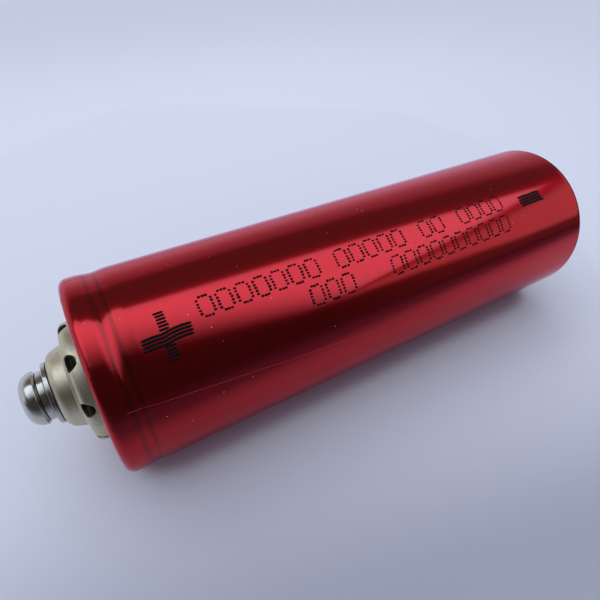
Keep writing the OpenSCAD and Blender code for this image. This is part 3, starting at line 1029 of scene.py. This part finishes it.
def floor():
    """Plain pale table top with painted shade in front, as from someone leaning over it, and a painted
    contact shadow tinted red as by the film.
    """
    half, lean = 2000, 0.25
    lit, shaded = -20, -90                  # where the shade begins and where it is full
    corners = [(-half, -half), (half, -half), (half, half), (-half, half)]
    mesh = bpy.data.meshes.new("floor")
    mesh.from_pydata([(x * MM, y * MM, FLOOR_Z * MM) for x, y in corners], [], [(0, 1, 2, 3)])
    made = bpy.data.objects.new("floor", mesh)
    bpy.context.scene.collection.objects.link(made)

    def shade(g, place):
        x = g.add("SeparateXYZ", {0: place}, output="X")
        y = g.add("SeparateXYZ", {0: place}, output="Y")
        inwards = g.total(y, g.product(x, lean))
        mirrored = g.add("LightPath", output="Is Glossy Ray")
        distance = g.add("VectorMath", {0: place}, output="Value", operation="LENGTH")
        # painted shade: the floor's colour darkens towards the front; reflections see all of it, other rays
        # only near the cell and part of the way
        limit = g.math("MAXIMUM", mirrored, g.smooth(distance, 240, 110, 0.0, 0.55))
        shadow = g.math("SMOOTH_MIN", g.smooth(inwards, lit, shaded), limit, 0.2)
        pale = g.mix(g.noise(place, 0.5, 3.0), (0.73, 0.735, 0.75), (0.75, 0.755, 0.77))
        # colour of the painted shade, darker still further towards the front
        painted_shade_colour = g.scaled((0.150, 0.165, 0.215), g.smooth(inwards, -90, -220, 1.0, 0.4))
        # painted contact shadow: darker and redder where the cell hangs close over the floor, as if lit red
        # by the film; strongest in reflections
        under = g.math("SUBTRACT", 1.0, g.open_air(12.0))
        depth = g.math("MAXIMUM", mirrored, g.smooth(under, 0.72, 1.0, 0.12, 0.9))
        painted_contact_shadow = g.mix(g.product(under, depth), (1.0, 1.0, 1.0), (0.50, 0.32, 0.38))
        return {
            "Base Color": g.stretch(g.mix(shadow, pale, painted_shade_colour), painted_contact_shadow),
            "Roughness": 0.9,
            "Specular IOR Level": 0.1,
        }

    mesh.materials.append(material("floor", shade))


def studio_world():
    """Soft studio seen by light and reflections: a ceiling panel, a side window, a lit back wall.

    Reflections in the barrel show the ceiling panel as its long stripe, the window beside it and the
    wall as the paler band above. The floor is lit by an even blue-grey sky, brighter at the back, and
    the camera itself sees a plain pale surround.
    """
    world = bpy.data.worlds.new("studio")
    world.use_nodes = True
    bpy.context.scene.world = world
    g = Graph(world.node_tree)
    direction = g.add("TexCoord", output="Generated")
    x = g.add("SeparateXYZ", {0: direction}, output="X")
    y = g.add("SeparateXYZ", {0: direction}, output="Y")
    z = g.add("SeparateXYZ", {0: direction}, output="Z")
    height = g.math("MAXIMUM", z, 0.02)
    u = g.math("DIVIDE", x, height)
    w = g.math("DIVIDE", y, height)
    # edges of the ceiling panel, as lines on a ceiling one unit above the cell
    back = g.smooth(g.total(w, g.product(u, 0.33)), 0.32, 0.22)
    front = g.smooth(g.total(w, g.product(g.math("MAXIMUM", u, 0.0), 1.34)), -0.83, 0.17)
    right = g.smooth(g.math("SUBTRACT", u, g.product(w, 0.2)), 1.47, 1.33)
    left = g.smooth(u, -1.9, -1.3)
    ceiling = g.product(back, front, right, left)
    window_left = g.total(x, g.product(y, g.math("SUBTRACT", 1.6, g.product(z, 2.4))))
    window_top = g.math("SUBTRACT", z, g.product(x, 0.35))
    window = g.product(
        g.smooth(window_left, -0.15, 0.08), g.smooth(window_top, 0.28, 0.21),
        g.smooth(z, 0.09, 0.16), g.smooth(y, 0.15, 0.0),
    )
    wall_top = g.total(z, g.product(g.math("MAXIMUM", g.math("SUBTRACT", x, 0.68), 0.0), 0.6))
    wall = g.product(g.smooth(wall_top, 0.65, 0.54), g.smooth(y, -0.15, 0.1))
    wall_colour = g.mix(g.smooth(z, 0.62, 0.05), (0.22, 0.15, 0.19), (0.55, 0.68, 0.87))
    ambient = g.total(0.6, g.smooth(y, -0.6, 0.2), g.product(g.smooth(x, 0.4, 0.8), g.smooth(y, 0.0, -0.3)))
    studio = g.sum_colours(
        g.scaled((0.10, 0.09, 0.085), ambient),
        g.scaled((1.26, 1.46, 1.80), ceiling),
        g.scaled((0.60, 0.58, 0.62), window),
        g.scaled(wall_colour, wall),
    )
    backwards = g.smooth(g.math("SUBTRACT", y, x), -1.2, 1.2, 0.75, 1.2)
    sky = g.scaled((0.73, 0.785, 0.985), g.product(backwards, g.smooth(z, 0.0, 0.5, 0.45, 1.0)))
    on_floor = g.add("LightPath", output="Is Diffuse Ray")
    seen = g.add("LightPath", output="Is Camera Ray")
    colour = g.mix(seen, g.mix(on_floor, studio, sky), (0.62, 0.66, 0.80))
    background = g.add("Background", {"Color": colour})
    g.add("OutputWorld", {"Surface": background})


def key_light():
    """Wide soft key above and behind the cell, left out of reflections; its shadow falls in front."""
    light = bpy.data.lights.new("key", "AREA")
    light.shape = "RECTANGLE"
    light.size, light.size_y = 520 * MM, 240 * MM
    light.energy = 0.2
    light.color = (0.93, 1.0, 1.13)
    made = bpy.data.objects.new("key", light)
    bpy.context.scene.collection.objects.link(made)
    made.location = Vector((0, 190, 230)) * MM
    made.rotation_mode = "QUATERNION"
    made.rotation_quaternion = (Vector((0, 60, FLOOR_Z)) * MM - made.location).to_track_quat("-Z", "Y")
    made.visible_glossy = False
    made.visible_camera = False


def camera():
    """Camera above and in front of the positive end, looking down along the barrel."""
    heading, tilt, roll = 30.9, -40.7, 0.6
    h, t = math.radians(heading), math.radians(tilt)
    ahead = Vector((math.sin(h) * math.cos(t), math.cos(h) * math.cos(t), math.sin(t)))
    data = bpy.data.cameras.new("camera")
    data.lens, data.sensor_width = 27.04, 36
    data.clip_start, data.clip_end = 0.005, 20
    made = bpy.data.objects.new("camera", data)
    bpy.context.scene.collection.objects.link(made)
    made.location = Vector((-53.3, -66.3, 66.3)) * MM
    made.rotation_mode = "QUATERNION"
    made.rotation_quaternion = ahead.to_track_quat("-Z", "Y") @ Quaternion((0, 0, 1), math.radians(roll))
    bpy.context.scene.camera = made


floor()
studio_world()
key_light()
camera()
bpy.context.scene.view_settings.view_transform = "Standard"
